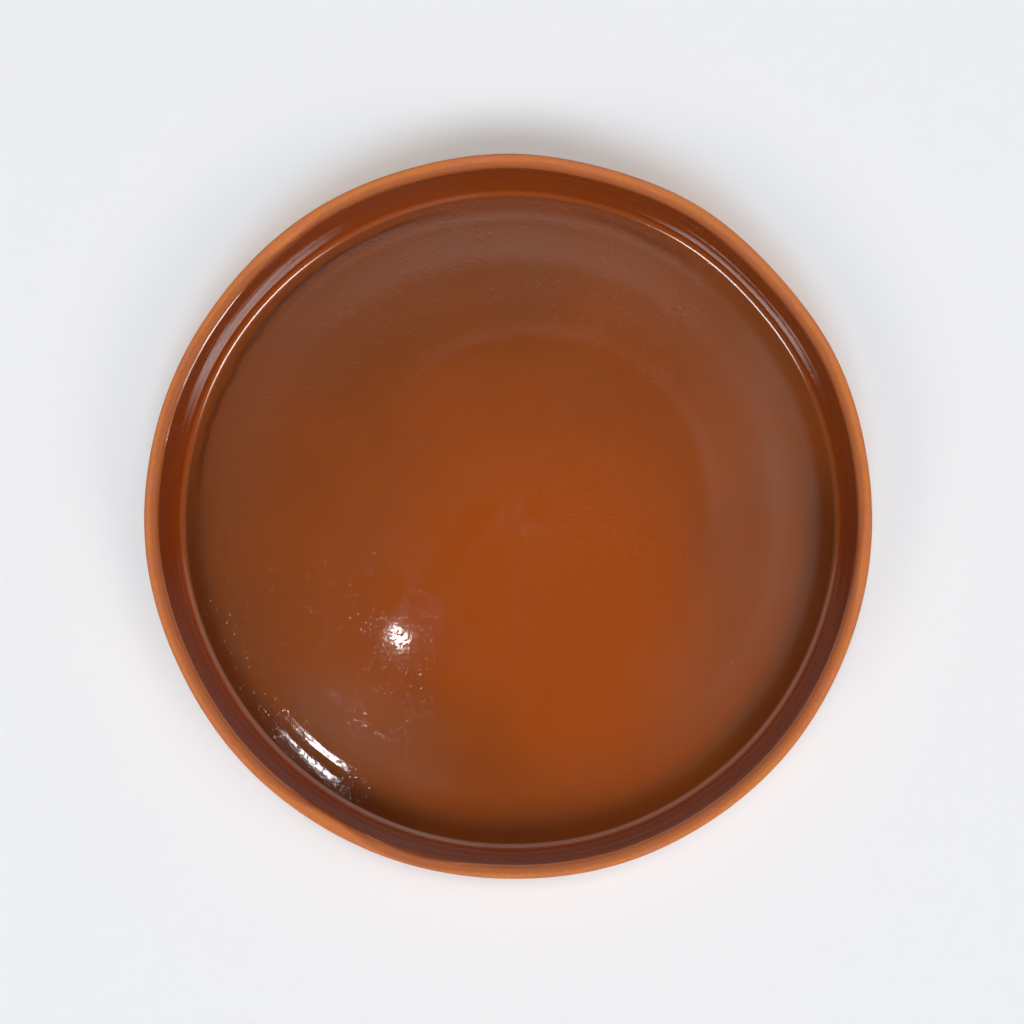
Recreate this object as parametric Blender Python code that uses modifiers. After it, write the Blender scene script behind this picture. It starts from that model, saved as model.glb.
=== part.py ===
"""A round baking dish of red clay, thrown on a wheel and glazed inside.

It is one piece of fired clay: a thick flat floor, a low wall that leans out more below its
belly than above it, and a rounded lip that is left bare. The dish stands on its flat base at
z = 0, with its axis on +Z and its centre at the origin. Lengths are in metres.
"""

import math

import bpy

MM = 0.001

# Driving dimensions
RIM_RADIUS = 160.0 * MM
DISH_HEIGHT = 46.0 * MM
FLOOR_THICKNESS = 8.0 * MM
LIP_THICKNESS = 5.8 * MM
LIP_ROUND_HEIGHT = 2.4 * MM
LIP_SQUARENESS = 2.3
FLOOR_RADIUS = 147.0 * MM
FILLET_RADIUS = 4.3 * MM
LOWER_WALL_LEAN = math.radians(10.5)
BELLY_HEIGHT = 24.0 * MM
BASE_RADIUS = 151.5 * MM
HEEL_RADIUS = 7.0 * MM
WAIST_INSET = 1.1 * MM

# The floor is level in the middle and sweeps up towards the wall
FLOOR_RISE = 1.45 * MM
FLOOR_SWEEP = 6.5

# Soft rings that the potter's fingers left on the floor: (radius, height, half width)
FLOOR_RINGS = (
    (19.0 * MM, 0.07 * MM, 7.0 * MM),
    (46.0 * MM, 0.06 * MM, 8.0 * MM),
    (79.0 * MM, 0.10 * MM, 7.0 * MM),
    (112.0 * MM, 0.05 * MM, 8.0 * MM),
)

# Throwing ridges on both faces of the wall
RIDGE_HEIGHT = 0.08 * MM
RIDGE_SPACING = 9.5 * MM

# How far the thrown wall strays from a circle: (waves a turn, size, where a crest lies)
RIM_WAVES = (
    (2, 0.40 * MM, math.radians(148)),
    (3, 0.32 * MM, math.radians(64)),
    (4, 0.14 * MM, math.radians(29)),
    (5, 0.09 * MM, math.radians(27)),
    (6, 0.13 * MM, math.radians(3)),
    (7, 0.11 * MM, math.radians(25)),
)
FINGER_WAVES = 10
FINGER_WAVE_SIZE = 0.45 * MM
FINGER_WAVE_CREST = math.radians(58)
FINGER_WAVE_REACH = math.radians(62)
LIP_DIP = 0.35 * MM
LIP_DIP_CREST = math.radians(120)
STRAY_AT_BASE = 0.35

# How finely the outline and its turning are cut
TURN_STEPS = 96
FLOOR_POINTS = 16
FILLET_POINTS = 6
LOWER_WALL_POINTS = 3
UPPER_WALL_POINTS = 5
OUTER_WALL_POINTS = 7
LIP_POINTS = 10
HEEL_POINTS = 4

# The glaze stops this far inside the lip's outer edge
BARE_BAND = 5.4 * MM

CLAY_COLOUR = (0.52, 0.17, 0.06, 1.0)
GLAZE_COLOUR = (0.26, 0.052, 0.008, 1.0)


def smoothstep(low, high, value):
    """0 below low, 1 above high, and an even ease between them."""
    share = min(1.0, max(0.0, (value - low) / (high - low)))
    return share * share * (3 - 2 * share)


def spaced(count):
    """Shares from just above 0 to 1, evenly spaced."""
    return [step / count for step in range(1, count + 1)]


def arc(centre, radius, start, end, count):
    """Points on a circle from the angle start to end, without the first one."""
    angles = [start + (end - start) * share for share in spaced(count)]
    return [(centre[0] + radius * math.cos(a), centre[1] + radius * math.sin(a)) for a in angles]


def rounded_lip(inner_lip, outer_lip, height, count):
    """The lip's round top from its inner to its outer edge, a little flatter than an ellipse."""
    middle = (inner_lip + outer_lip) / 2
    half = (outer_lip - inner_lip) / 2
    points = []
    for share in spaced(count):
        turn = math.pi * (1 - share)
        across = math.copysign(abs(math.cos(turn)) ** (2 / LIP_SQUARENESS), math.cos(turn))
        up = abs(math.sin(turn)) ** (2 / LIP_SQUARENESS)
        points.append((middle + half * across, height + LIP_ROUND_HEIGHT * up))
    return points


def floor_height(radius):
    """Height of the floor's upper face at this distance from the axis."""
    sweep = FLOOR_RISE * (radius / FLOOR_RADIUS) ** FLOOR_SWEEP
    rings = sum(
        height * math.exp(-(((radius - middle) / half_width) ** 2))
        for middle, height, half_width in FLOOR_RINGS
    )
    return FLOOR_THICKNESS + sweep + rings


def ridged(start, end, count, side):
    """A straight run of wall with throwing ridges that fade out at its two ends."""
    points = []
    for share in spaced(count):
        height = start[1] + (end[1] - start[1]) * share
        ridge = RIDGE_HEIGHT * math.sin(2 * math.pi * height / RIDGE_SPACING)
        fade = math.sin(math.pi * share)
        radius = start[0] + (end[0] - start[0]) * share + side * ridge * fade
        points.append((radius, height))
    return points


def outline():
    """Half the dish's section: out along the floor, up the wall, over the lip and down outside."""
    points = [(FLOOR_RADIUS * share, floor_height(FLOOR_RADIUS * share)) for share in spaced(FLOOR_POINTS)]
    points.insert(0, (0.0, floor_height(0.0)))

    rise = math.atan(FLOOR_SWEEP * FLOOR_RISE / FLOOR_RADIUS)
    floor_end = points[-1]
    fillet_centre = (
        floor_end[0] - FILLET_RADIUS * math.sin(rise),
        floor_end[1] + FILLET_RADIUS * math.cos(rise),
    )
    points += arc(fillet_centre, FILLET_RADIUS, rise - math.pi / 2, -LOWER_WALL_LEAN, FILLET_POINTS)

    foot_radius, foot_height = points[-1]
    belly = (foot_radius + (BELLY_HEIGHT - foot_height) * math.tan(LOWER_WALL_LEAN), BELLY_HEIGHT)
    points += ridged(points[-1], belly, LOWER_WALL_POINTS, -1)

    lip_height = DISH_HEIGHT - LIP_ROUND_HEIGHT
    inner_lip = RIM_RADIUS - LIP_THICKNESS
    points += ridged(points[-1], (inner_lip, lip_height), UPPER_WALL_POINTS, -1)
    points += rounded_lip(inner_lip, RIM_RADIUS, lip_height, LIP_POINTS)

    heel_centre = (BASE_RADIUS, HEEL_RADIUS)
    heel_top = (BASE_RADIUS + HEEL_RADIUS, HEEL_RADIUS)
    under_lip = (RIM_RADIUS - WAIST_INSET, lip_height - LIP_THICKNESS)
    points.append(under_lip)
    points += ridged(under_lip, heel_top, OUTER_WALL_POINTS, 1)
    points += arc(heel_centre, HEEL_RADIUS, 0.0, -math.pi / 2, HEEL_POINTS)
    points.append((0.0, 0.0))
    return points


def rim_stray(angle):
    """How far the wall leans out of round at this angle round the rim."""
    waves = sum(size * math.cos(count * (angle - crest)) for count, size, crest in RIM_WAVES)
    off_crest = math.remainder(angle - FINGER_WAVE_CREST, 2 * math.pi)
    reach = 1 - smoothstep(0.0, FINGER_WAVE_REACH, abs(off_crest))
    return waves + FINGER_WAVE_SIZE * math.cos(FINGER_WAVES * off_crest) * reach


def make_uneven(mesh):
    """Moves a turned mesh's points the small way that hand work leaves them from true."""
    for vertex in mesh.vertices:
        radius = math.hypot(vertex.co.x, vertex.co.y)
        if radius == 0:
            continue
        angle = math.atan2(vertex.co.y, vertex.co.x)
        height = vertex.co.z
        near_wall = smoothstep(0.0, FLOOR_RADIUS, radius)
        share = STRAY_AT_BASE + (1 - STRAY_AT_BASE) * height / DISH_HEIGHT
        stretch = 1 + rim_stray(angle) * share * near_wall / radius
        vertex.co.x *= stretch
        vertex.co.y *= stretch
        dip = LIP_DIP * math.cos(2 * (angle - LIP_DIP_CREST)) - LIP_DIP
        vertex.co.z += dip * smoothstep(DISH_HEIGHT / 2, DISH_HEIGHT, height)


def centre_on_origin(mesh):
    """Slides the mesh so that its widest reach is the same on both sides of the axis."""
    for axis in (0, 1):
        reach = [vertex.co[axis] for vertex in mesh.vertices]
        middle = (min(reach) + max(reach)) / 2
        for vertex in mesh.vertices:
            vertex.co[axis] -= middle


def surface(name, colour, roughness):
    """A plain material for the source: colour and roughness of one finish."""
    material = bpy.data.materials.new(name)
    material.use_nodes = True
    shader = material.node_tree.nodes["Principled BSDF"]
    shader.inputs["Base Color"].default_value = colour
    shader.inputs["Roughness"].default_value = roughness
    shader.inputs["Metallic"].default_value = 0.0
    return material


def turned(name, points, collection):
    """Spins an outline round +Z with a Screw modifier and returns the finished mesh object."""
    flat = bpy.data.meshes.new(name + "_outline")
    edges = [(index, index + 1) for index in range(len(points) - 1)]
    flat.from_pydata([(radius, 0.0, height) for radius, height in points], edges, [])
    spinner = bpy.data.objects.new(name + "_outline", flat)
    collection.objects.link(spinner)
    screw = spinner.modifiers.new("Turn", "SCREW")
    screw.axis = "Z"
    screw.steps = TURN_STEPS
    screw.render_steps = TURN_STEPS
    screw.use_merge_vertices = True
    screw.merge_threshold = 0.01 * MM

    bpy.context.view_layer.update()
    graph = bpy.context.evaluated_depsgraph_get()
    mesh = bpy.data.meshes.new_from_object(spinner.evaluated_get(graph))
    bpy.data.objects.remove(spinner)
    mesh.name = name
    part = bpy.data.objects.new(name, mesh)
    collection.objects.link(part)
    return part


def finish_faces(mesh):
    """Glaze on the inside up to its line, bare clay everywhere else."""
    mesh.materials.clear()
    mesh.materials.append(surface("bare_clay", CLAY_COLOUR, 0.8))
    mesh.materials.append(surface("brown_glaze", GLAZE_COLOUR, 0.12))
    for face in mesh.polygons:
        distance = math.hypot(face.center.x, face.center.y)
        inside = distance < RIM_RADIUS - BARE_BAND and face.center.z > FLOOR_THICKNESS / 2
        face.material_index = 1 if inside else 0
    mesh.shade_smooth()


def main():
    for old in list(bpy.data.objects):
        bpy.data.objects.remove(old)
    collection = bpy.data.collections.new("Clay baking dish")
    bpy.context.scene.collection.children.link(collection)
    dish = turned("clay_dish", outline(), collection)
    make_uneven(dish.data)
    centre_on_origin(dish.data)
    finish_faces(dish.data)


main()
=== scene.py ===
# %% [markdown]
# # A round baking dish of red clay, glazed inside
#
# The real dish is thrown on a potter's wheel: a lump of red clay is opened into a flat disc,
# a low wall is pulled up at its edge, and the lip is rounded with wet fingers. Amber glaze is
# then poured inside and wiped off the lip. This script makes that one piece of pottery with
# the fine surface that its solid model leaves out, and sets it in plain studio light.
#
# The solid model comes first, as a fixed frame.

# %% The frame, and what the rest needs
import math

import bmesh
import bpy
from mathutils import Matrix, Vector, noise


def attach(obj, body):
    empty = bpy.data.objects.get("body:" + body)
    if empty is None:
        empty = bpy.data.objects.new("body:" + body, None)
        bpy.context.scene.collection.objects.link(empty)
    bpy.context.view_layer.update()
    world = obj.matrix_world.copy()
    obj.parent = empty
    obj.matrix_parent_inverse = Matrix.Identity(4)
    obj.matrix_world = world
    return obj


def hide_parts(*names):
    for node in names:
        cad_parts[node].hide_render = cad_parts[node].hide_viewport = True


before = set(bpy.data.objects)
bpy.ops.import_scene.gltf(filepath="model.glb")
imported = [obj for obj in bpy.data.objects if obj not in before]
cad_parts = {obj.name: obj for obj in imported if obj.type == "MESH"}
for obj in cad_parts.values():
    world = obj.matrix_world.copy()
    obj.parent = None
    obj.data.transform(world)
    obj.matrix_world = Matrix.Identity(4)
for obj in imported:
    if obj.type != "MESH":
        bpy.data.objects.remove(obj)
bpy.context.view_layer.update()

# %% [markdown]
# ## The sizes of the dish
#
# A few sizes drive everything. They are written as a potter would measure them. The dish is
# 32 cm across and stands under 5 cm high. Its lip is nearly as thick as its wall. The wall leans
# out more in its lower half than in its upper half, so that a baked flat bread comes out.

# %% Driving sizes, in metres
MM = 0.001
RIM_RADIUS = 160.0 * MM
DISH_HEIGHT = 46.0 * MM
FLOOR_THICKNESS = 8.0 * MM
LIP_THICKNESS = 5.8 * MM
INNER_LIP_ROUND = 2.8 * MM
OUTER_LIP_ROUND = 1.7 * MM
FOOT_RADIUS = 149.8 * MM
LOWER_LEAN = math.radians(8.5)
BELLY_HEIGHT = 24.0 * MM
BELLY_ROUND = 40.0 * MM
FILLET_RADIUS = 2.8 * MM
WAIST_INSET = 1.1 * MM
HEEL_INSET = 1.5 * MM
HEEL_RADIUS = 7.0 * MM
inner_rim = RIM_RADIUS - LIP_THICKNESS
print("inner depth", round((DISH_HEIGHT - FLOOR_THICKNESS) / MM, 1), "mm")

# %% [markdown]
# ## The section
#
# Anything thrown on a wheel is a section spun round an axis. The section could be typed in as
# a long list of points, but a maker thinks of it as a few corners, each rounded by a thumb or
# a tool. So the outline starts as ten corners joined by edges, and every rounding is a bevel
# on one corner. A bevel on a corner of a bare outline gives an arc, whose radius is the
# bevel's offset times the tangent of half the corner's angle.

# %% The corners of the section
BELLY_RADIUS = FOOT_RADIUS + (BELLY_HEIGHT - FLOOR_THICKNESS) * math.tan(LOWER_LEAN)
FINE_WALL = 38.0 * MM


def upper_wall(height):
    """Radius of the inner face above the belly, at this height."""
    share = (height - BELLY_HEIGHT) / (DISH_HEIGHT - BELLY_HEIGHT)
    return BELLY_RADIUS + (inner_rim - BELLY_RADIUS) * share


SECTION = {
    "floor centre": (0.0, FLOOR_THICKNESS),
    "wall foot": (FOOT_RADIUS, FLOOR_THICKNESS),
    "belly": (BELLY_RADIUS, BELLY_HEIGHT),
    "fine wall": (upper_wall(FINE_WALL), FINE_WALL),
    "inner lip": (inner_rim, DISH_HEIGHT),
    "outer lip": (RIM_RADIUS, DISH_HEIGHT),
    "under lip": (RIM_RADIUS, DISH_HEIGHT - LIP_THICKNESS * 0.62),
    "waist": (RIM_RADIUS - WAIST_INSET, DISH_HEIGHT - LIP_THICKNESS * 1.7),
    "heel": (RIM_RADIUS - HEEL_INSET, 0.0),
    "base centre": (0.0, 0.0),
}

dish = bmesh.new()
along = dish.verts.layers.float.new("along")
corners = [dish.verts.new((radius, 0.0, height)) for radius, height in SECTION.values()]
for near, far in zip(corners, corners[1:]):
    dish.edges.new((near, far))
print("section starts with", len(dish.verts), "corners")

# %% Rounding the corners
def nearest(name):
    """The outline's point closest to a corner of the section."""
    radius, height = SECTION[name]
    place = Vector((radius, 0.0, height))
    return min(dish.verts, key=lambda vert: (vert.co - place).length)


def round_corner(name, radius, segments):
    """Turns one corner of the outline into an arc of this radius."""
    corner = nearest(name)
    one, other = (edge.other_vert(corner).co - corner.co for edge in corner.link_edges)
    offset = radius / math.tan(one.angle(other) / 2)
    bmesh.ops.bevel(
        dish,
        geom=[corner],
        offset=offset,
        offset_type="OFFSET",
        affect="VERTICES",
        segments=segments,
        profile=0.5,
        material=-1,
    )


round_corner("wall foot", FILLET_RADIUS, 16)
round_corner("belly", BELLY_ROUND, 4)
round_corner("inner lip", INNER_LIP_ROUND, 14)
round_corner("outer lip", OUTER_LIP_ROUND, 10)
round_corner("under lip", 3.0 * MM, 3)
round_corner("waist", 9.0 * MM, 4)
round_corner("heel", HEEL_RADIUS, 10)
print("rounded section has", len(dish.verts), "points")

# %% [markdown]
# Long straight runs need points too, or nothing could ripple there. Each edge is cut until its
# pieces are no longer than a spacing: wide on the base, finer on the floor and walls, and
# finest just under the lip, where the glaze ends in a raised edge half a millimetre high.

# %% Cutting the long runs
def spacing_at(edge):
    """How long a piece of the outline may be, by where it is."""
    middle = (edge.verts[0].co + edge.verts[1].co) / 2
    if middle.z < 1 * MM:
        return 6.5 * MM
    if middle.z < FLOOR_THICKNESS + 0.1 * MM:
        return 2.2 * MM if middle.x < 0.8 * FOOT_RADIUS else 0.75 * MM
    if middle.x < inner_rim + 1 * MM and middle.z > FINE_WALL:
        return 0.24 * MM
    return 0.8 * MM if middle.x < inner_rim else 1.8 * MM


long_floor = max(dish.edges, key=lambda edge: min(vert.co.z for vert in edge.verts) * edge.calc_length())
bmesh.ops.subdivide_edges(dish, edges=[long_floor], cuts=4)
for edge in dish.edges[:]:
    cuts = math.ceil(edge.calc_length() / spacing_at(edge)) - 1
    if cuts > 0:
        bmesh.ops.subdivide_edges(dish, edges=[edge], cuts=cuts)
print("cut section has", len(dish.verts), "points")

# %% [markdown]
# A point's distance along the section is worth keeping too. It is counted from the place where the
# inner wall turns into the lip, and stored on the point. Spin copies it round the whole dish,
# so every point later knows how far it lies above or below the lip's start.

# %% Measuring along the section
def walk_outline(start):
    """The outline's points in order from one of its two ends, with the length walked so far."""
    vert, edge, length = start, start.link_edges[0], 0.0
    yield vert, length
    while edge:
        vert = edge.other_vert(vert)
        length += edge.calc_length()
        yield vert, length
        onward = [other for other in vert.link_edges if other is not edge]
        edge = onward[0] if onward else None


LIP_START = DISH_HEIGHT - INNER_LIP_ROUND
walked = list(walk_outline(nearest("floor centre")))
lip_start_length = next(length for vert, length in walked if vert.co.z > LIP_START - 0.1 * MM)
for vert, length in walked:
    vert[along] = length - lip_start_length
print("section is", round(walked[-1][1] / MM, 1), "mm long")

# %% [markdown]
# Now the section turns once round the upright axis, as clay does on the wheel. The first and the
# last copy meet, and so do all the points on the axis, so doubles are merged afterwards. A spin
# can leave faces that point inwards, which is why the normals are worked out again.

# %% Spinning the section
TURN_STEPS = 360
bmesh.ops.spin(
    dish,
    geom=dish.verts[:] + dish.edges[:],
    cent=(0, 0, 0),
    axis=(0, 0, 1),
    angle=2 * math.pi,
    steps=TURN_STEPS,
    use_merge=True,
)
bmesh.ops.remove_doubles(dish, verts=dish.verts, dist=0.002 * MM)
bmesh.ops.recalc_face_normals(dish, faces=dish.faces)
print("spun dish has", len(dish.faces), "faces")

# %% [markdown]
# ## The potter's hand
#
# A spun shape is too perfect. On the real dish the floor rises a little towards the wall and
# keeps soft rings from the fingers, the wall has ridges, and the rim strays by up to eight
# tenths of a millimetre from a circle, most of all in a few waves at the upper right. Each of
# these is a short rule that says how far a point moves.

# %% Helpers for smooth rules
def ease(low, high, value):
    """0 below low, 1 above high, and a smooth change between."""
    share = min(1.0, max(0.0, (value - low) / (high - low)))
    return share * share * (3 - 2 * share)


def hump(value, middle, half_width):
    """A smooth bump of height 1 round a middle."""
    return math.exp(-(((value - middle) / half_width) ** 2))


def turn_from(angle, other):
    """The angle from one direction to another, the short way round."""
    return math.remainder(angle - other, 2 * math.pi)


print("a smooth step is", ease(0.0, 1.0, 0.25), "high a quarter of the way")

# %% [markdown]
# The floor follows the most rules. It sweeps up towards the wall and carries five soft rings,
# one of them a little off centre. A shallow groove lies before the foot of the wall at the
# upper left, and a low, wide warp at the front left.

# %% The floor's shape
FLOOR_RISE = 1.38 * MM
FLOOR_SWEEP = 6.5
FLOOR_RADIUS = 146.0 * MM
FLOOR_RINGS = (
    (19 * MM, 0.05 * MM, 7 * MM),
    (46 * MM, 0.04 * MM, 8 * MM),
    (118.5 * MM, 0.055 * MM, 6.5 * MM),
    (137.0 * MM, 0.024 * MM, 2.4 * MM),
)
BIG_RING_CENTRE = Vector((11 * MM, 4 * MM))
BIG_RING_RADIUS = 79 * MM
BIG_RING_HEIGHT = 0.07 * MM
BIG_RING_WIDTH = 5 * MM
WARP_CENTRE = Vector((-58, -120)) * MM
WARP_HEIGHT = 0.24 * MM
WARP_WIDTH = 35 * MM
GROOVE_RADIUS = 143.4 * MM
GROOVE_DEPTH = 0.05 * MM
GROOVE_WIDTH = 1.2 * MM
GROOVE_TOWARDS = math.radians(134)
FLOOR_UNEVENNESS = 0.04 * MM


def floor_lift(place):
    """How much higher the floor lies here than a flat disc."""
    radius = place.to_2d().length
    flatter_at_back = 1 - 0.7 * ease(0.2, 0.9, place.y / max(radius, MM))
    lift = FLOOR_RISE * (radius / FLOOR_RADIUS) ** FLOOR_SWEEP * flatter_at_back
    lift += sum(height * hump(radius, middle, wide) for middle, height, wide in FLOOR_RINGS)
    off_groove = abs(turn_from(math.atan2(place.y, place.x), GROOVE_TOWARDS))
    groove = hump(radius, GROOVE_RADIUS, GROOVE_WIDTH)
    lift -= GROOVE_DEPTH * groove * (1 - ease(0.35, 0.6, off_groove))
    off_centre = (place.to_2d() - BIG_RING_CENTRE).length
    at_back = ease(-15 * MM, 25 * MM, place.y)
    lift += BIG_RING_HEIGHT * hump(off_centre, BIG_RING_RADIUS, BIG_RING_WIDTH) * at_back
    lift += WARP_HEIGHT * hump((place.to_2d() - WARP_CENTRE).length, 0.0, WARP_WIDTH)
    swell = noise.noise(place * 14 + Vector((3.1, 0.0, 0.0)))
    return lift + FLOOR_UNEVENNESS * swell


print("floor rises", round(floor_lift(Vector((FLOOR_RADIUS, 0.0, 0.0))) / MM, 2), "mm at the right")

# %% [markdown]
# The rim isn't a true circle. Its waves are a sum of a few cosines, each with a number of waves
# a turn, a size and the direction of a crest. Short waves, as fingers leave them, come on top
# in one stretch at the upper right, and die away on both sides of it.

# %% The rim's shape
RIM_WAVES = (
    (2, 0.40 * MM, math.radians(148)),
    (3, 0.32 * MM, math.radians(64)),
    (4, 0.14 * MM, math.radians(29)),
    (5, 0.09 * MM, math.radians(27)),
    (6, 0.13 * MM, math.radians(3)),
    (7, 0.11 * MM, math.radians(25)),
    (11, 0.12 * MM, math.radians(25)),
)
FINGER_WAVES = 10
FINGER_WAVE_SIZE = 0.45 * MM
FINGER_WAVE_CREST = math.radians(58)
FINGER_WAVE_REACH = math.radians(62)


def rim_stray(angle):
    """How far the rim leans out of a circle in this direction."""
    waves = sum(size * math.cos(count * (angle - crest)) for count, size, crest in RIM_WAVES)
    off_crest = turn_from(angle, FINGER_WAVE_CREST)
    reach = 1 - ease(0.0, FINGER_WAVE_REACH, abs(off_crest))
    return waves + FINGER_WAVE_SIZE * math.cos(FINGER_WAVES * off_crest) * reach


strays = [rim_stray(math.radians(degrees)) / MM for degrees in range(360)]
print("rim strays from", round(min(strays), 2), "to", round(max(strays), 2), "mm")

# %% [markdown]
# The wall keeps the soft ridges of throwing. They climb a little as they go round, as a finger
# does, and two layers of noise that stretch round the pot make them wander. The foot of the
# wall swells outwards at the upper left.

# %% The wall's shape
STRAY_AT_BASE = 0.35
LIP_DIP = 0.35 * MM
LIP_DIP_CREST = math.radians(120)
RIDGE_SPACING = 9.5 * MM
RIDGE_HEIGHT = 0.03 * MM
WANDER_HEIGHT = 0.14 * MM
RIPPLE_HEIGHT = 0.05 * MM
FOOT_SWELL = 0.6 * MM
FOOT_SWELL_TOWARDS = math.radians(147)
FOOT_SWELL_REACH = math.radians(16)


def wall_ridge(place, angle):
    """The soft throwing ridges on the wall, which climb a little as they go round."""
    climb = place.z / RIDGE_SPACING - angle / (2 * math.pi)
    round_place = Vector((math.cos(angle), math.sin(angle), 0.0))
    wander = noise.noise(round_place * 2.5 + Vector((0.0, 0.0, place.z * 70)))
    ripple = noise.noise(round_place * 5 + Vector((0.0, 0.0, place.z * 250)))
    ridge = RIDGE_HEIGHT * math.sin(2 * math.pi * climb)
    return ridge + WANDER_HEIGHT * wander + RIPPLE_HEIGHT * ripple


print("wall ridges lie", RIDGE_SPACING / MM, "mm apart")

# %% [markdown]
# With the rules at hand, one loop visits every point of the dish. A rule fades out where it has
# no business: the floor's rules end under the lip, and the wall's at the foot and at the lip.

# %% Moving the points
for vert in dish.verts:
    place = vert.co.copy()
    radius = place.to_2d().length
    if radius < 0.01 * MM:
        vert.co.z += floor_lift(place) if place.z > 4 * MM else 0.0
        continue
    angle = math.atan2(place.y, place.x)
    up = place.z / DISH_HEIGHT
    inside = vert[along] < 0
    if inside:
        vert.co.z += floor_lift(place) * (1 - ease(FLOOR_THICKNESS, LIP_START, place.z))
    on_wall = ease(6 * MM, 14 * MM, place.z) * (1 - ease(LIP_START - 6 * MM, LIP_START, place.z))
    side = -1 if inside else 1
    stray = rim_stray(angle) * (STRAY_AT_BASE + (1 - STRAY_AT_BASE) * up)
    stray *= ease(0.0, FLOOR_RADIUS, radius)
    stray += side * wall_ridge(place, angle) * on_wall
    if inside:
        swell = FOOT_SWELL * hump(turn_from(angle, FOOT_SWELL_TOWARDS), 0.0, FOOT_SWELL_REACH)
        stray += swell * ease(130 * MM, 145 * MM, radius) * (1 - ease(BELLY_HEIGHT, LIP_START, place.z))
    vert.co.x *= 1 + stray / radius
    vert.co.y *= 1 + stray / radius
    dip = LIP_DIP * (math.cos(2 * (angle - LIP_DIP_CREST)) - 1)
    vert.co.z += dip * ease(DISH_HEIGHT / 2, DISH_HEIGHT, place.z)
print("moved", len(dish.verts), "points")

# %% [markdown]
# ## The edge of the glaze
#
# The glaze was wiped off the lip by hand, so its edge wanders: it sits high on the lip at the
# front, where it once almost ran over, and lower at the back. Melted glaze pulls itself into a
# rounded edge like a drop of honey. So the edge is real shape here: a low bead that follows
# the line. The distance to the line is kept on each point, and the material reads it later.

# %% Where the glaze ends
LINE_HEIGHT = 1.2 * MM
LINE_TILT = 0.7 * MM
LINE_LOWEST = math.radians(88)
GLAZE_TONGUES = (
    (math.radians(256), math.radians(8), 1.5 * MM),
    (math.radians(240), math.radians(5), -3.6 * MM),
    (math.radians(129), math.radians(5), -2.4 * MM),
    (math.radians(155), math.radians(18), 0.8 * MM),
    (math.radians(352), math.radians(6), -1.2 * MM),
)


def glaze_line(angle):
    """How far above the lip's start the glaze ends, measured along the section."""
    line = LINE_HEIGHT - LINE_TILT * math.cos(angle - LINE_LOWEST)
    line += sum(rise * hump(turn_from(angle, where), 0.0, wide) for where, wide, rise in GLAZE_TONGUES)
    wander = Vector((math.cos(angle), math.sin(angle), 0.0)) * 5
    return line + 0.35 * MM * noise.noise(wander) + 0.12 * MM * noise.noise(wander * 4)


lines = [glaze_line(math.radians(degrees)) / MM for degrees in range(360)]
print("glaze line lies", round(min(lines), 2), "to", round(max(lines), 2), "mm above the lip's start")

# %% The raised edge
GLAZE_COAT = 0.18 * MM
COAT_EASING = 0.2 * MM
FAT_EDGE_HEIGHT = 0.36 * MM
FAT_EDGE_MIDDLE = 0.66 * MM
FAT_EDGE_WIDTH = 0.34 * MM


def bead(inwards):
    """Height of the glaze over the clay, by the distance inwards from its edge."""
    if inwards <= 0:
        return 0.0
    coat = GLAZE_COAT * (1 - math.exp(-inwards / COAT_EASING))
    fat_edge = FAT_EDGE_HEIGHT * hump(inwards, FAT_EDGE_MIDDLE, FAT_EDGE_WIDTH)
    return (coat + fat_edge) * (1 - ease(2.0 * MM, 7.0 * MM, inwards))


dish.normal_update()
into_glaze = dish.verts.layers.float.new("into_glaze")
pushes = []
for vert in dish.verts:
    angle = math.atan2(vert.co.y, vert.co.x)
    inwards = glaze_line(angle) - vert[along]
    vert[into_glaze] = inwards / MM
    pushes.append(vert.normal * bead(inwards))
for vert, push in zip(dish.verts, pushes):
    vert.co += push
print("glaze stands up to", round(max(push.length for push in pushes) / MM, 2), "mm proud")

# %% [markdown]
# The bmesh becomes a mesh that an object can hold. The object stays at the origin, unturned and
# unscaled, so that patterns on its coordinates lie still wherever the dish is used.

# %% The finished mesh
mesh = bpy.data.meshes.new("glazed_dish")
dish.to_mesh(mesh)
dish.free()
mesh.shade_smooth()
pottery = bpy.data.objects.new("glazed_dish", mesh)
bpy.context.scene.collection.objects.link(pottery)
triangles = sum(len(face.vertices) - 2 for face in mesh.polygons)
print("glazed_dish has", triangles, "triangles")

# %% [markdown]
# ## Writing materials as sums
#
# A material is a net of nodes. Long nets are hard to read as code, so one small class stands
# for a number or colour that the net works out at each point of the surface. Plus, minus,
# times and divide on it add the Math nodes, so that a pattern reads like a formula.

# %% A small kit for shader sums
class Shade:
    """A value that a node tree works out at each point of a surface."""

    def __init__(self, sheet, socket):
        self.sheet = sheet
        self.socket = socket

    def maths(self, operation, first, second):
        return self.sheet.node("ShaderNodeMath", {"operation": operation}, {0: first, 1: second})

    def __add__(self, other):
        return self.maths("ADD", self, other)

    def __radd__(self, other):
        return self.maths("ADD", other, self)

    def __sub__(self, other):
        return self.maths("SUBTRACT", self, other)

    def __rsub__(self, other):
        return self.maths("SUBTRACT", other, self)

    def __mul__(self, other):
        return self.maths("MULTIPLY", self, other)

    def __rmul__(self, other):
        return self.maths("MULTIPLY", other, self)

    def __truediv__(self, other):
        return self.maths("DIVIDE", self, other)

    def __pow__(self, other):
        return self.maths("POWER", self, other)

    def limit(self, low, high):
        return self.maths("MINIMUM", self.maths("MAXIMUM", self, low), high)

    def eased(self, low, high):
        """0 where this is below low, 1 above high, and smooth between. low may be the larger."""
        settings = {"interpolation_type": "SMOOTHSTEP"}
        if low < high:
            return self.sheet.node("ShaderNodeMapRange", settings, {0: self, 1: low, 2: high})
        return 1 - self.sheet.node("ShaderNodeMapRange", settings, {0: self, 1: high, 2: low})


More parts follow.
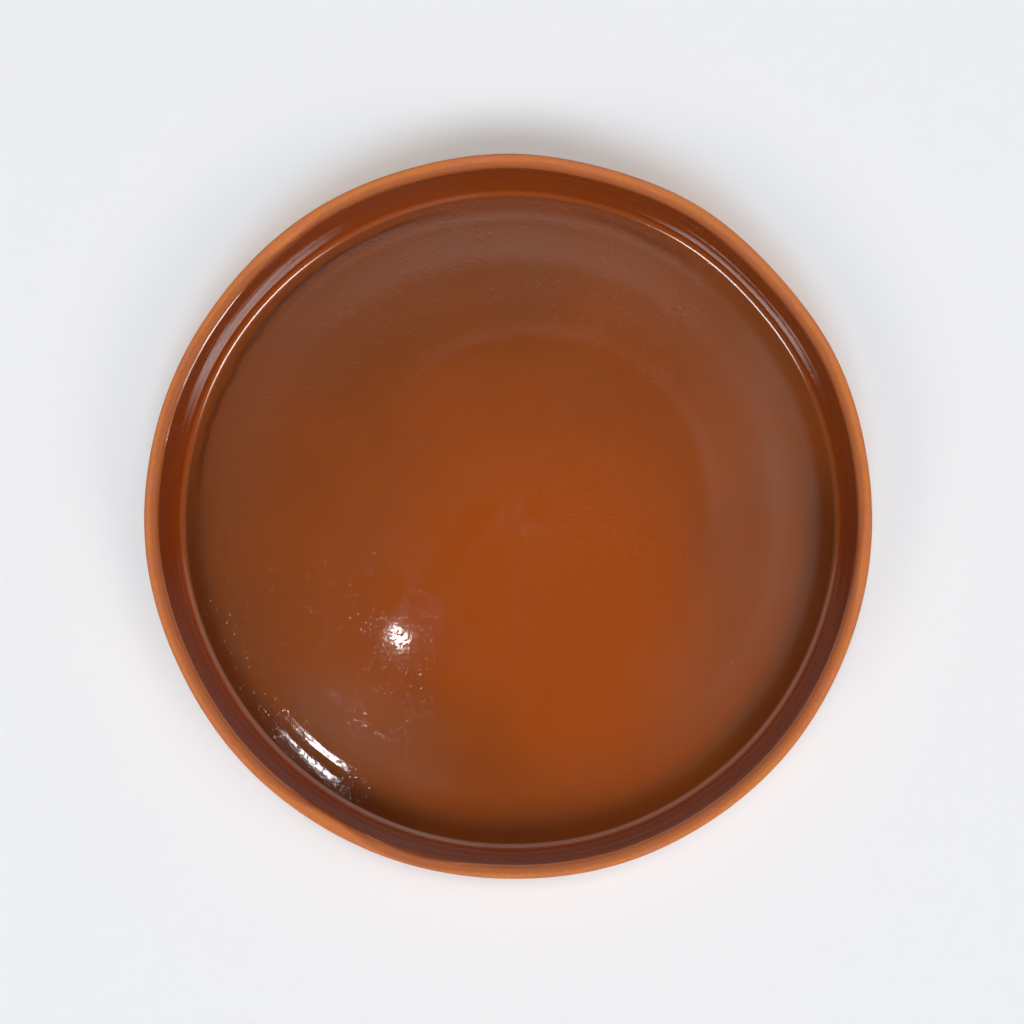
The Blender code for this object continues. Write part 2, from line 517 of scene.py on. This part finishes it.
print("a Shade knows", [name for name in vars(Shade) if not name.startswith("_")])

# %% The sheet that nodes are laid out on
class Sheet:
    """The node tree of one material or of the world, with one way to add any node."""

    def __init__(self, tree):
        self.tree = tree

    def node(self, kind, settings, inputs, output=0):
        made = self.tree.nodes.new(kind)
        for name, value in settings.items():
            if name == "stops":
                self.set_stops(made.color_ramp.elements, value)
            else:
                setattr(made, name, value)
        for name, value in inputs.items():
            self.feed(made.inputs[name], value)
        return Shade(self, made.outputs[output])

    def feed(self, socket, value):
        """Links a worked-out value to a socket, or sets a plain one on it."""
        if isinstance(value, Shade):
            self.tree.links.new(value.socket, socket)
        else:
            socket.default_value = value

    @staticmethod
    def set_stops(elements, stops):
        while len(elements) < len(stops):
            elements.new(1.0)
        for element, (position, colour) in zip(elements, stops):
            element.position = position
            element.color = (*colour, 1.0)

    def noise(self, place, scale, detail=2.0, roughness=0.5, distortion=0.0):
        """Fractal noise from 0 to 1, with scale in patterns for each unit of place."""
        inputs = {"Vector": place, "Scale": scale, "Detail": detail}
        inputs.update({"Roughness": roughness, "Distortion": distortion})
        return self.node("ShaderNodeTexNoise", {}, inputs)

    def combine(self, x, y, z):
        return self.node("ShaderNodeCombineXYZ", {}, {0: x, 1: y, 2: z})

    def blend(self, share, colour, other):
        """Mixes two colours; share 0 gives the first."""
        inputs = {0: share, 6: as_colour(colour), 7: as_colour(other)}
        return self.node("ShaderNodeMix", {"data_type": "RGBA"}, inputs, 2)


def as_colour(value):
    """A plain colour with its alpha, or a worked-out one as it is."""
    return value if isinstance(value, Shade) else (*value, 1.0)


material = bpy.data.materials.new("glazed_clay")
material.use_nodes = True
sheet = Sheet(material.node_tree)
principled = material.node_tree.nodes["Principled BSDF"]
mesh.materials.append(material)
print("material", material.name, "is on", pottery.name)

# %% [markdown]
# ## Where a point lies on the pot
#
# Marks on thrown pottery run round it, so the patterns need a point's radius and direction.
# These come from its place on the object. Lengths are in millimetres from here on.
# "Round" is a space in which one step outwards counts far more than one step round the pot,
# so noise read there comes out as long smears along the throwing direction.

# %% Places on the pot
object_place = sheet.node("ShaderNodeTexCoord", {}, {}, "Object")
place = sheet.node("ShaderNodeVectorMath", {"operation": "SCALE"}, {0: object_place, "Scale": 1000.0})
x = sheet.node("ShaderNodeSeparateXYZ", {}, {0: place}, 0)
y = sheet.node("ShaderNodeSeparateXYZ", {}, {0: place}, 1)
z = sheet.node("ShaderNodeSeparateXYZ", {}, {0: place}, 2)
radius = (x * x + y * y + 0.01) ** 0.5
inwards = sheet.node("ShaderNodeAttribute", {"attribute_name": "into_glaze"}, {}, "Fac")


def round_space(round_scale, out_scale):
    """A place where noise stretches round the pot: scales count patterns a turn and a mm."""
    round_x = x / radius * round_scale
    round_y = y / radius * round_scale
    return sheet.combine(round_x, round_y, (radius + z) * out_scale)


print("places on the pot are ready")

# %% [markdown]
# ## Bare red clay
#
# Fired red clay isn't one colour. Where the potter's wet hand brought fine slip to the top it
# is a warm yellow orange, and elsewhere the coarser body shows pinker. Fine grains make it
# matt. Close to the glaze, iron and melted glass have soaked in and stain it brown.

# %% Clay colour
CLAY_ORANGE = (0.560, 0.172, 0.036)
CLAY_PINK = (0.520, 0.150, 0.060)
CLAY_PALE = (0.640, 0.230, 0.085)
CLAY_STAIN = (0.290, 0.078, 0.026)

patches = sheet.noise(round_space(9.0, 0.10), 1.0, 3.0, 0.55)
clay = sheet.blend(patches.eased(0.42, 0.62) * 0.65, CLAY_ORANGE, CLAY_PINK)
wiped = sheet.noise(round_space(7.0, 0.9), 1.0, 2.0, 0.6)
clay = sheet.blend(wiped.eased(0.52, 0.80) * 0.5, clay, CLAY_PALE)
grain = sheet.noise(place, 1.6, 3.0, 0.7)
clay = sheet.blend(grain.eased(0.60, 0.36) * 0.35, clay, (0.30, 0.10, 0.05))
stain_edge = inwards + (sheet.noise(place, 0.5, 2.0) - 0.5) * 1.6
clay = sheet.blend(stain_edge.eased(-4.2, -2.6) * 0.70, clay, CLAY_STAIN)
print("clay colours are mixed")

# %% [markdown]
# ## Amber glaze
#
# The glaze is brown glass over orange clay. Thin glaze lets the clay's orange through and thick glaze is
# dark brown, so its colour is a scale of thickness. It ran off the middle of the floor, which is the
# brightest. The dark ring at the foot of the wall is partly glaze that gathered there and partly painted
# shade from the wall. A few pinholes, where gas came out of the clay, show as pale dots: partly the
# paler clay showing through, partly painted glints.

# %% Glaze thickness
THIN_MIDDLE = (23.0, -40.0)
THIN_LENGTHWAYS = math.radians(300)
THIN_SLIMNESS = 1.25

off_x = x - THIN_MIDDLE[0]
off_y = y - THIN_MIDDLE[1]
lengthways = off_x * math.cos(THIN_LENGTHWAYS) + off_y * math.sin(THIN_LENGTHWAYS)
across = (off_y * math.cos(THIN_LENGTHWAYS) - off_x * math.sin(THIN_LENGTHWAYS)) * THIN_SLIMNESS
from_thin = (lengthways * lengthways + across * across) ** 0.5
cloud = sheet.noise(place, 0.016, 2.0, 0.5, 0.5)
smear = sheet.noise(round_space(3.0, 0.04), 1.0, 3.0, 0.5)
swirl = sheet.noise(place, 0.045, 3.0, 0.55, 1.5)

from_thin = from_thin + (cloud - 0.5) * 30
thickness = from_thin.eased(35.0, 100.0) * 0.18 + (from_thin - 80).limit(0.0, 130.0) * 0.0030 + 0.11
thickness = thickness + (cloud - 0.5) * 0.06 + (smear - 0.5) * 0.09 + (swirl - 0.5) * 0.05


def towards(degrees):
    """1 in this direction from the middle of the dish, 0 square to it, -1 behind."""
    turn = math.radians(degrees)
    return (x * math.cos(turn) + y * math.sin(turn)) / radius


print("glaze is thinnest", THIN_MIDDLE, "mm from the middle")

# %% [markdown]
# The glaze is thicker in a few places on the floor: at the back, at the right and at the front. A dark
# ring lies in the corner at the foot of the wall, strongest at the front and the sides. It is partly
# glaze that gathered there and partly the wall's shade painted into the colour. There are also two
# ragged pools at the upper left and upper right. On the wall it is thinner at the left.

# %% Where the glaze gathered, and the painted shade at the foot of the wall
thick_at_back = towards(110).eased(0.70, 0.95) * radius.eased(60.0, 95.0)
thickness = thickness + thick_at_back * 0.11
front_and_sides = towards(90).eased(0.35, -0.10)
nearest_edge = towards(282).eased(0.75, 0.95)
# Painted shade: this dark ring at the foot of the wall, strongest at the front and the sides, is partly
# gathered glaze and partly the wall's shade painted in.
settled_and_shade = (radius - towards(180) * 2).eased(132.0, 143.0) * front_and_sides * (1 - nearest_edge * 0.45)
settled_and_shade = settled_and_shade * (1 - towards(190).eased(0.6, 1.0) * 0.35)
thick_at_right = towards(342).eased(0.86, 0.99) * radius.eased(74.0, 90.0) * radius.eased(128.0, 108.0)
thick_at_front = towards(255).eased(0.93, 0.99) * radius.eased(72.0, 92.0) * radius.eased(128.0, 112.0)
thickness = thickness + settled_and_shade * 0.44 + thick_at_right * 0.08 + thick_at_front * 0.10

ragged = radius + (sheet.noise(round_space(16.0, 0.05), 1.0, 2.0, 0.5) - 0.5) * 3.4
pooled = ragged.eased(141.6, 142.2) * ragged.eased(145.4, 143.4)
thickness = thickness + pooled * towards(138).eased(0.76, 0.90) * 0.26
thickness = thickness + pooled * towards(66).eased(0.975, 0.992) * 0.16

on_the_wall = 0.215 + towards(30) * 0.13
thickness = thickness + (on_the_wall - thickness) * radius.eased(146.5, 150.0)
fat_edge = inwards.eased(0.0, 0.5) * inwards.eased(1.5, 0.8)
thickness = (thickness + fat_edge * 0.35).limit(0.0, 1.0)
print("glaze thickness is mapped")

# %% [markdown]
# A ramp turns the thickness into a colour, from the orange of thin glaze to the dark brown of thick
# glaze. The thickness also carries the painted shade at the foot of the wall. On the outer floor a pale
# haze is mixed in, mostly at the back and at the right, with a fainter band at the front left. That haze
# is partly the glaze's own milkiness and partly a painted sheen, the pale room's reflection painted into
# the colour.

# %% Glaze colour
GLAZE_SCALE = [
    (0.00, (0.370, 0.067, 0.0065)),
    (0.30, (0.285, 0.057, 0.0065)),
    (0.60, (0.190, 0.045, 0.0070)),
    (1.00, (0.095, 0.022, 0.0055)),
]
glaze = sheet.node("ShaderNodeValToRGB", {"stops": GLAZE_SCALE}, {0: thickness})

MILK_AND_SHEEN = (0.32, 0.26, 0.22)
# Painted sheen: this pale haze is partly the glaze's own milkiness and partly the room's reflection
# painted into the colour.
milk_and_sheen = radius.eased(92.0, 134.0) * (towards(82).eased(-0.3, 1.0) * 0.50 + 0.20)
milk_and_sheen = milk_and_sheen + radius.eased(72.0, 122.0) * towards(350).eased(0.55, 1.0) * 0.75
milk_and_sheen_band = radius.eased(84.0, 112.0) * radius.eased(140.0, 122.0)
milk_and_sheen = milk_and_sheen + milk_and_sheen_band * towards(236).eased(0.90, 1.0) * 0.65
milk_and_sheen = milk_and_sheen * radius.eased(143.0, 138.0)
glaze = sheet.blend(milk_and_sheen * (smear * 0.16 + 0.03), glaze, MILK_AND_SHEEN)

# Pale dots at the pinholes: partly the paler clay showing through, and partly painted glints of light in
# the pits.
pore_places = {"Vector": place, "Scale": 0.035}
pores = sheet.node("ShaderNodeTexVoronoi", {"feature": "F1"}, pore_places, "Distance")
glaze = sheet.blend(pores.eased(0.014, 0.008) * 0.55, glaze, (0.55, 0.25, 0.12))
print("glaze scale has", len(GLAZE_SCALE), "stops")

# %% [markdown]
# The two finishes meet at the glaze line. It is sharp, with a slight tremble that the points of
# the mesh are too coarse to carry.

# %% Clay meets glaze
tremble = (sheet.noise(place, 0.9, 2.0) - 0.5) * 0.35
glazed = (inwards + tremble).eased(-0.06, 0.10)
colour = sheet.blend(glazed, clay, glaze)
sheet.feed(principled.inputs["Base Color"], colour)

clay_roughness = 0.78 + (grain - 0.5) * 0.25
glaze_roughness = 0.03 + (sheet.noise(place, 0.05, 3.0) - 0.5) * 0.02
roughness = clay_roughness + (glaze_roughness - clay_roughness) * glazed
sheet.feed(principled.inputs["Roughness"], roughness)
principled.inputs["Metallic"].default_value = 0.0
principled.inputs["IOR"].default_value = 1.55
print("clay and glaze meet at the glaze line")

# %% [markdown]
# ## Fine relief
#
# Clay is sandy to the touch and carries wipe marks. Glaze is smooth but never flat: it has a
# fine grain like the skin of an orange, which breaks a lamp's reflection into sparkles, and a
# few pinholes where gas came out of the clay.

# %% Bumps
sand = sheet.noise(place, 2.2, 3.0, 0.7)
wipe_marks = sheet.noise(round_space(6.0, 2.4), 1.0, 2.0, 0.5)
clay_relief = sand * 0.06 + wipe_marks * 0.05

skin = sheet.noise(place, 0.6, 0.0, 0.5)
grit = sheet.noise(place, 0.80, 0.0, 0.5).eased(0.62, 0.80)
turned_grit = sheet.noise(round_space(80.0, 0.35), 1.0, 0.0, 0.5).eased(0.62, 0.80)
gritty = sheet.noise(place, 0.05, 2.0).eased(0.34, 0.54)
grains = (grit * 0.0085 + turned_grit * 0.0140) * gritty
glaze_relief = skin * 0.0020 + grains - pores.eased(0.016, 0.006) * 0.05

relief = clay_relief + (glaze_relief - clay_relief) * glazed
bump = sheet.node("ShaderNodeBump", {}, {"Height": relief, "Strength": 1.0, "Distance": MM})
sheet.feed(principled.inputs["Normal"], bump)
print("material has", len(material.node_tree.nodes), "nodes")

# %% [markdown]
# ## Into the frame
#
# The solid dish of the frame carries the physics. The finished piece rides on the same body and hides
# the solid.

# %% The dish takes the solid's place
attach(pottery, "root")
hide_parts("clay_dish")
print("glazed_dish replaces clay_dish")

# %% [markdown]
# ## The studio
#
# The dish stands on a plain pale table. One light straight overhead and a cooler one at the
# front give most of the even light, as a diffusing tent would. A faint one stands at the back
# right, and two softboxes at the front left and front right throw the soft shadow behind the
# dish. They stand far off, so that the table is lit evenly. None of them shows in the glaze:
# what the glaze reflects is drawn in the room below, where soft edges are easier. One small
# lamp hangs higher up, a little left of the camera, and it does show.

# %% The table
TABLE_SIZE = 3.0
table = bmesh.new()
bmesh.ops.create_grid(table, x_segments=1, y_segments=1, size=TABLE_SIZE)
table_mesh = bpy.data.meshes.new("table")
table.to_mesh(table_mesh)
table.free()
table_top = bpy.data.objects.new("table", table_mesh)
bpy.context.scene.collection.objects.link(table_top)
table_material = bpy.data.materials.new("pale_table")
table_material.use_nodes = True
table_surface = table_material.node_tree.nodes["Principled BSDF"]
table_surface.inputs["Base Color"].default_value = (0.855, 0.876, 0.900, 1.0)
table_surface.inputs["Roughness"].default_value = 0.9
table_surface.inputs["Specular IOR Level"].default_value = 0.1
table_mesh.materials.append(table_material)
print("table reaches", round(max(vert.co.x for vert in table_mesh.vertices), 1), "m each way")

# %% The lights
def direction(azimuth, elevation):
    """A unit vector; azimuth runs anticlockwise from +X, both in degrees."""
    turn, rise = math.radians(azimuth), math.radians(elevation)
    return Vector((math.cos(turn) * math.cos(rise), math.sin(turn) * math.cos(rise), math.sin(rise)))


def add_light(name, place, size, power, shines=False):
    """An area light that faces the dish. shines: whether the gloss shows it."""
    light = bpy.data.lights.new(name, "AREA")
    light.shape = "RECTANGLE"
    light.size, light.size_y = size
    light.energy = power
    lamp = bpy.data.objects.new(name, light)
    lamp.location = place
    lamp.rotation_euler = (-place).to_track_quat("-Z", "Y").to_euler()
    lamp.visible_glossy = shines
    bpy.context.scene.collection.objects.link(lamp)
    return lamp


def add_studio_light(name, toward, distance, width, share, colour):
    """A far light that gives this share of the table's light; width is its size in degrees."""
    size = 2 * distance * math.tan(math.radians(width) / 2)
    power = share * (math.pi * distance) ** 2 / toward.z
    lamp = add_light(name, toward * distance, (size, size), power)
    lamp.data.color = colour


add_studio_light("tent_top", direction(90, 87), 3.0, 13, 0.312, (1.0, 0.99, 0.925))
add_studio_light("tent_front", direction(270, 62), 10.0, 20, 0.355, (0.58, 0.83, 1.0))
add_studio_light("tent_right", direction(25, 69), 10.0, 18, 0.100, (1.0, 0.85, 0.78))
add_studio_light("softbox_left", direction(223, 45), 10.0, 20, 0.140, (1.0, 0.72, 0.60))
add_studio_light("softbox_right", direction(317, 45), 10.0, 20, 0.140, (1.0, 0.72, 0.60))

LAMP_PLACE = Vector((-0.176, -0.041, 2.0))
LAMP_SIZE = (0.024, 0.010)
lamp_by_camera = add_light("lamp_by_camera", LAMP_PLACE, LAMP_SIZE, 0.050, shines=True)
lamp_by_camera.rotation_euler = (0.0, 0.0, math.radians(138))
print(len(bpy.data.lights), "lights hang over the table")

# %% [markdown]
# The room gives three kinds of ray a different grey. What the camera sees past the table is
# pale. Matt surfaces get only a little light from it. In the glaze it shows as a dark ceiling
# straight overhead, which keeps the middle of the floor a deep orange, as a pale wall behind
# the dish, and as the two softboxes, which draw the bright lines at the foot of the wall. A
# softbox is a patch round one direction, bright in the middle and soft at its edges.

# %% The room
SEEN_ROOM = (0.86, 0.87, 0.88)
ROOM_FILL = (0.12, 0.122, 0.125)
DEGREES = 57.3  # near straight up, a unit vector's x and y times this are degrees off plumb
world = bpy.data.worlds.new("room")
bpy.context.scene.world = world
world.use_nodes = True
room = Sheet(world.node_tree)
looking = room.node("ShaderNodeTexCoord", {}, {}, "Generated")
look_x = room.node("ShaderNodeSeparateXYZ", {}, {0: looking}, 0) * DEGREES
look_y = room.node("ShaderNodeSeparateXYZ", {}, {0: looking}, 1) * DEGREES
off_x = look_x + 0.2
off_y = look_y - 1.2
from_overhead = (off_x * off_x + off_y * off_y) ** 0.5
brightness = from_overhead.eased(1.8, 4.8) * 0.10 + from_overhead.eased(5.0, 10.0) * 0.10 + 0.01
brightness = brightness + look_x.eased(2.4, 5.0) * look_x.eased(30.0, 8.0) * 0.36
brightness = brightness + look_y.eased(6.6, 12.6) * 0.85
print("room has a dark ceiling and a pale back wall")

# %% The softboxes that the glaze reflects
def look_along(axis):
    """The part of the looking direction that points along this axis."""
    settings = {"operation": "DOT_PRODUCT"}
    return room.node("ShaderNodeVectorMath", settings, {0: looking, 1: axis}, "Value")


SOFTBOX_GLOW = 19.0
for azimuth in (220, 326):
    sideways = (look_along(direction(azimuth + 90, 0)) ** 2) ** 0.5
    upwards = (look_along(direction(azimuth + 180, 40)) ** 2) ** 0.5
    softbox = sideways.eased(0.26, 0.12) * upwards.eased(0.22, 0.10)
    softbox = softbox * look_along(direction(azimuth, 50)).eased(0.0, 0.1)
    brightness = brightness + softbox * SOFTBOX_GLOW
reflected = room.combine(brightness, brightness, brightness)
is_camera = room.node("ShaderNodeLightPath", {}, {}, "Is Camera Ray")
is_glossy = room.node("ShaderNodeLightPath", {}, {}, "Is Glossy Ray")
room_colour = room.blend(is_glossy, ROOM_FILL, reflected)
room_colour = room.blend(is_camera, room_colour, SEEN_ROOM)
background = world.node_tree.nodes["Background"]
room.feed(background.inputs["Color"], room_colour)
background.inputs["Strength"].default_value = 1.0
print("room has", len(world.node_tree.nodes), "nodes")

# %% [markdown]
# ## The camera
#
# The photograph looks almost straight down from about a metre above, a little towards the
# front. The camera's up is the table's +Y, which a track-to rotation wouldn't give for so
# steep a view, so its three axes are worked out one by one.

# %% The camera
CAMERA_PLACE = Vector((19.0, -57.0, 1090.0)) * MM
CAMERA_AIM = Vector((1.66, 0.81, 45.0)) * MM
VIEW_WIDTH = 450.2 * MM

camera = bpy.data.cameras.new("camera")
ahead = CAMERA_AIM - CAMERA_PLACE
camera.sensor_width = 36.0
camera.lens = camera.sensor_width * ahead.length / VIEW_WIDTH
eye = bpy.data.objects.new("camera", camera)
ahead.normalize()
right = ahead.cross(Vector((0, 1, 0))).normalized()
turned = Matrix((right, right.cross(ahead), -ahead)).transposed().to_4x4()
eye.matrix_world = Matrix.Translation(CAMERA_PLACE) @ turned
bpy.context.scene.collection.objects.link(eye)
bpy.context.scene.camera = eye
bpy.context.scene.view_settings.view_transform = "Standard"
print("lens is", round(camera.lens, 1), "mm")

# %% [markdown] The finished dish is meant to be as large as the solid model, give or take the glaze.
